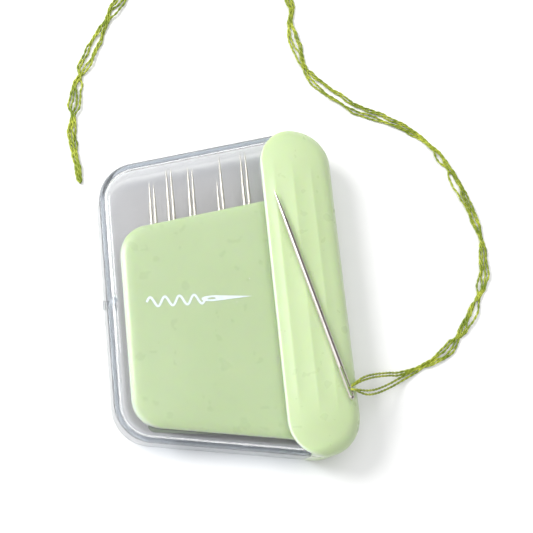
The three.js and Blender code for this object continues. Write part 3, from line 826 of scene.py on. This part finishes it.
def eased(distance, knots, values):
    """Values between knots, with a smooth start and stop at each knot."""
    index = np.clip(np.searchsorted(knots, distance, side="right") - 1, 0, len(knots) - 2)
    share = np.clip((distance - knots[index]) / (knots[index + 1] - knots[index]), 0, 1)
    share = share * share * (3 - 2 * share)
    return values[index] + (values[index + 1] - values[index]) * share


def strand_path(index, offsets):
    """The centre line of one strand, in metres, from the needle's eye to the tail's end."""
    rng = np.random.default_rng(40 + index)
    phases = rng.uniform(0, 2 * math.pi, 4)
    pair = "upper" if index < 2 else "lower"
    apart = (0.5 - index % 2) * PAIR_GAP[pair]
    table = smooth_path([(x, y, 0.0) for x, y in ON_TABLE], 0.8)
    along = path_lengths(table)
    direction = np.gradient(table, axis=0)
    direction /= np.linalg.norm(direction, axis=1)[:, None]
    aside = np.column_stack([-direction[:, 1], direction[:, 0], np.zeros(len(table))])
    knots = np.array([distance for distance, _ in ALONG_TABLE], float)
    offset = eased(along, knots, offsets[:, index])
    for (sway, wave), phase in zip(WANDER, phases):
        offset += sway * np.sin(2 * math.pi * along / wave + phase)
    closing = np.clip((along - (along[-1] - LOOP_REACH)) / LOOP_REACH, 0, 1)
    offset *= np.sqrt(np.clip(1 - closing**2, 0, 1))
    lift = 0.5 + 0.5 * np.sin(2 * math.pi * along / STACKING_WAVE + phases[2] + index * math.pi / 2)
    table = table + aside * offset[:, None]
    table[:, 2] = (TABLE_CLEARANCE + STACK_HEIGHT * lift) / MM
    start = np.array(FROM_EYE[pair], float)
    start[3:, 1] += apart
    start[2, 1] += apart * 0.5
    joined = np.vstack([start, table[2:]]) * MM
    return smooth_path(joined, SAMPLE_STEP)


def ply_mesh(path, phase):
    """Vertices and faces of one ply wound round the strand's centre line, and how deep each lies, which the
    floss material turns into painted shade in the lay.
    """
    direction = np.gradient(path, axis=0)
    direction /= np.linalg.norm(direction, axis=1)[:, None]
    side = np.cross(direction, np.array([0.0, 0.0, 1.0]))
    side /= np.maximum(np.linalg.norm(side, axis=1), 1e-9)[:, None]
    up = np.cross(side, direction)
    angle = 2 * math.pi * np.arange(len(path)) * SAMPLE_STEP / PLY_PITCH + phase
    outwards = side * np.cos(angle)[:, None] + up * np.sin(angle)[:, None]
    centre = path + PLY_LAY_RADIUS * outwards
    turns = np.linspace(0, 2 * math.pi, PLY_SIDES, endpoint=False)
    rings, painted_ply_shades = [], []
    for turn in turns:
        normal = side * math.cos(turn) + up * math.sin(turn)
        rings.append(centre + PLY_RADIUS * normal)
        painted_ply_shades.append(0.5 + 0.5 * np.sum(normal * outwards, axis=1))
    vertices = np.stack(rings, axis=1).reshape(-1, 3)
    painted_ply_shade = np.stack(painted_ply_shades, axis=1).reshape(-1)
    faces = [tuple(reversed(range(PLY_SIDES)))]
    for i in range(len(path) - 1):
        for k in range(PLY_SIDES):
            j = (k + 1) % PLY_SIDES
            low, high = i * PLY_SIDES, (i + 1) * PLY_SIDES
            faces.append((low + k, low + j, high + j, high + k))
    last = (len(path) - 1) * PLY_SIDES
    faces.append(tuple(range(last, last + PLY_SIDES)))
    return vertices, faces, painted_ply_shade


def strand_piece(name, path, first_phase):
    vertices, faces, painted_ply_shades = [], [], []
    for phase in (first_phase, first_phase + math.pi):
        ply_vertices, ply_faces, painted_ply_shade = ply_mesh(path, phase)
        base = sum(len(v) for v in vertices)
        vertices.append(ply_vertices)
        painted_ply_shades.append(painted_ply_shade)
        faces += [tuple(base + i for i in face) for face in ply_faces]
    strand = mesh_object(name, np.concatenate(vertices), faces)
    attribute = strand.data.attributes.new("painted_ply_shade", "FLOAT", "POINT")
    attribute.data.foreach_set("value", np.concatenate(painted_ply_shades).astype(np.float32))
    return strand


def floss_strands():
    """Each strand is two pieces, which meet where the floss lies on the table beside the grip."""
    pieces = []
    offsets = strand_offsets()
    for index in range(STRAND_COUNT):
        path = strand_path(index, offsets)
        split = int(np.argmax(path[:, 0] > EYE_REACH_X + 3 * MM))
        number = index + 1
        lead = strand_piece(f"floss_strand_{number}_at_eye", path[:split + 1], index)
        phase = index + 2 * math.pi * split * SAMPLE_STEP / PLY_PITCH
        run = strand_piece(f"floss_strand_{number}_on_table", path[split:], phase)
        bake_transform(lead)
        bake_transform(run)
        pieces += [lead, run]
    return pieces


# ---- Assembly -----------------------------------------------------------------------------------

def dress(obj, material, body=None, node=None):
    """Gives a new piece its material and body, and hides the CAD node that it stands for."""
    obj.data.materials.clear()
    obj.data.materials.append(material)
    if body:
        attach(obj, body)
    if node:
        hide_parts(node)


def dress_cad_node(node, material):
    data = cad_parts[node].data
    data.materials.clear()
    data.materials.append(material)


def build_case():
    clear = clear_plastic()
    green = green_plastic()
    bright_steel = needle_steel("bright_steel", (0.62, 0.58, 0.55), (0.78, 0.74, 0.71), (0.26, 0.34))
    dull_steel = needle_steel("dull_steel", (0.62, 0.60, 0.55), (0.74, 0.71, 0.65), (0.58, 0.68))
    dress(clear_sleeve(), clear, "sleeve", "clear_sleeve")
    dress(drawer_plate(), green, "drawer", "drawer_plate")
    dress(grip_top(), green, "drawer", "grip_top_shell")
    dress(grip_bottom(), green, "drawer", "grip_bottom_shell")
    threaded = needle("embroidery_needle", "threaded_needle", "threaded")
    dress(threaded, bright_steel, "picked_needle", "threaded_needle")
    for number in range(1, 11):
        node = f"stored_needle_{number:02d}"
        stored = needle(f"sewing_needle_{number:02d}", node, "stored")
        dress(stored, dull_steel, f"needle_{number:02d}", node)
    dress_cad_node("plate_magnet_sheet", magnet_sheet())
    dress_cad_node("printed_mark", print_ink())
    dress_cad_node("grip_magnet_bar", magnet_bar())


def build_floss():
    cotton = cotton_floss()
    strands = floss_strands()
    for strand in strands:
        dress(strand, cotton)
    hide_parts("floss_lead")
    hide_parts("floss_tail")


# ---- Table, light and camera --------------------------------------------------------------------

TABLE_HALF_WIDTH = 1.5
TABLE_HEIGHT = -0.05 * MM


def table():
    half, z = TABLE_HALF_WIDTH, TABLE_HEIGHT
    corners = [(-half, -half, z), (half, -half, z), (half, half, z), (-half, half, z)]
    floor = mesh_object("table_top", corners, [(0, 1, 2, 3)])
    floor.data.materials.append(table_top())


def area_light(name, position, size, power, colour=(1, 1, 1)):
    """A round light that faces the origin."""
    data = bpy.data.lights.new(name, "AREA")
    data.shape = "DISK"
    data.size = size
    data.energy = power
    data.color = colour
    light = link(bpy.data.objects.new(name, data))
    light.location = position
    light.rotation_euler = (-Vector(position)).to_track_quat("-Z", "Y").to_euler()
    return light


def sky_colours(tree, height, stops):
    """A colour ramp for the sky: stops are (how far towards the window, colour)."""
    ramp = tree.nodes.new("ShaderNodeValToRGB")
    elements = ramp.color_ramp.elements
    while len(elements) < len(stops):
        elements.new(0.5)
    for element, (position, colour) in zip(elements, stops):
        element.position = position
        element.color = (*colour, 1)
    tree.links.new(height.outputs["Value"], ramp.inputs["Fac"])
    return ramp.outputs["Color"]


def mix_sky(tree, factor, first, second):
    mix = tree.nodes.new("ShaderNodeMix")
    mix.data_type = "RGBA"
    tree.links.new(factor, mix.inputs["Factor"])
    tree.links.new(first, mix.inputs["A"])
    tree.links.new(second, mix.inputs["B"])
    return mix.outputs["Result"]


# Each light faces the origin.
WINDOW = {"position": (-0.34, 0.176, 0.387), "size": 0.21, "power": 2.15, "colour": (1.0, 0.995, 0.985)}
CEILING = {"position": (0.05, 0.1, 0.9), "size": 0.9, "power": 3.8}
TOWARDS_WINDOW = (-0.83, 0.25, 0.50)
SKY_STRENGTH = 1.2

# The room's light as (how far round towards the window, colour), for three kinds of ray.
SEEN_IN_METAL = [
    (0.30, (0.20, 0.20, 0.21)), (0.46, (0.07, 0.045, 0.04)), (0.68, (0.10, 0.07, 0.06)),
    (0.80, (0.88, 0.88, 0.88)),
]
SEEN_THROUGH_PLASTIC = [
    (0.15, (0.12, 0.14, 0.17)), (0.58, (0.25, 0.28, 0.33)), (0.76, (1.0, 1.0, 1.0)),
]
FALLING_ON_THINGS = [
    (0.25, (0.20, 0.20, 0.21)), (0.55, (0.36, 0.365, 0.37)), (0.88, (0.60, 0.60, 0.605)),
]


def studio():
    """Soft daylight from the upper left, a pale ceiling and a darker, warmer room to the right."""
    area_light("window", **WINDOW)
    ceiling = area_light("ceiling", **CEILING)
    ceiling.visible_glossy = False
    ceiling.visible_transmission = False
    world = bpy.data.worlds.new("studio")
    world.use_nodes = True
    bpy.context.scene.world = world
    tree = world.node_tree
    tree.nodes.clear()
    output = tree.nodes.new("ShaderNodeOutputWorld")
    background = tree.nodes.new("ShaderNodeBackground")
    place = tree.nodes.new("ShaderNodeTexCoord")
    toward = tree.nodes.new("ShaderNodeVectorMath")
    toward.operation = "DOT_PRODUCT"
    toward.inputs[1].default_value = TOWARDS_WINDOW
    lifted = tree.nodes.new("ShaderNodeMath")
    lifted.operation = "MULTIPLY_ADD"
    lifted.inputs[1].default_value = 0.5
    lifted.inputs[2].default_value = 0.5
    tree.links.new(place.outputs["Generated"], toward.inputs[0])
    tree.links.new(toward.outputs["Value"], lifted.inputs[0])
    path = tree.nodes.new("ShaderNodeLightPath")
    in_metal = sky_colours(tree, lifted, SEEN_IN_METAL)
    through_plastic = sky_colours(tree, lifted, SEEN_THROUGH_PLASTIC)
    on_things = sky_colours(tree, lifted, FALLING_ON_THINGS)
    clear = mix_sky(tree, path.outputs["Is Transmission Ray"], on_things, through_plastic)
    everything = mix_sky(tree, path.outputs["Is Glossy Ray"], clear, in_metal)
    tree.links.new(everything, background.inputs["Color"])
    tree.links.new(background.outputs["Background"], output.inputs["Surface"])
    background.inputs["Strength"].default_value = SKY_STRENGTH
    bpy.context.scene.view_settings.view_transform = "Standard"


CAMERA_TARGET = (12.0 * MM, 7.9 * MM, 0.0)
CAMERA_DISTANCE = 258.2 * MM
CAMERA_AZIMUTH = math.radians(227.1)
CAMERA_ELEVATION = math.radians(71.7)
GRIP_LEAN = 0.1056  # the grip's direction leans this much from the picture's upright
LENS = 77.7


def camera():
    away = Vector((
        math.cos(CAMERA_ELEVATION) * math.cos(CAMERA_AZIMUTH),
        math.cos(CAMERA_ELEVATION) * math.sin(CAMERA_AZIMUTH),
        math.sin(CAMERA_ELEVATION),
    ))
    right = (-away).cross(Vector((GRIP_LEAN, 1, 0))).normalized()
    up = away.cross(right)
    data = bpy.data.cameras.new("camera")
    data.lens = LENS
    data.sensor_width = 36
    data.clip_start = 0.01
    view = link(bpy.data.objects.new("camera", data))
    turn = Matrix((right, up, away)).transposed().to_4x4()
    view.matrix_world = Matrix.Translation(Vector(CAMERA_TARGET) + away * CAMERA_DISTANCE) @ turn
    bpy.context.scene.camera = view


build_case()
build_floss()
table()
studio()
camera()
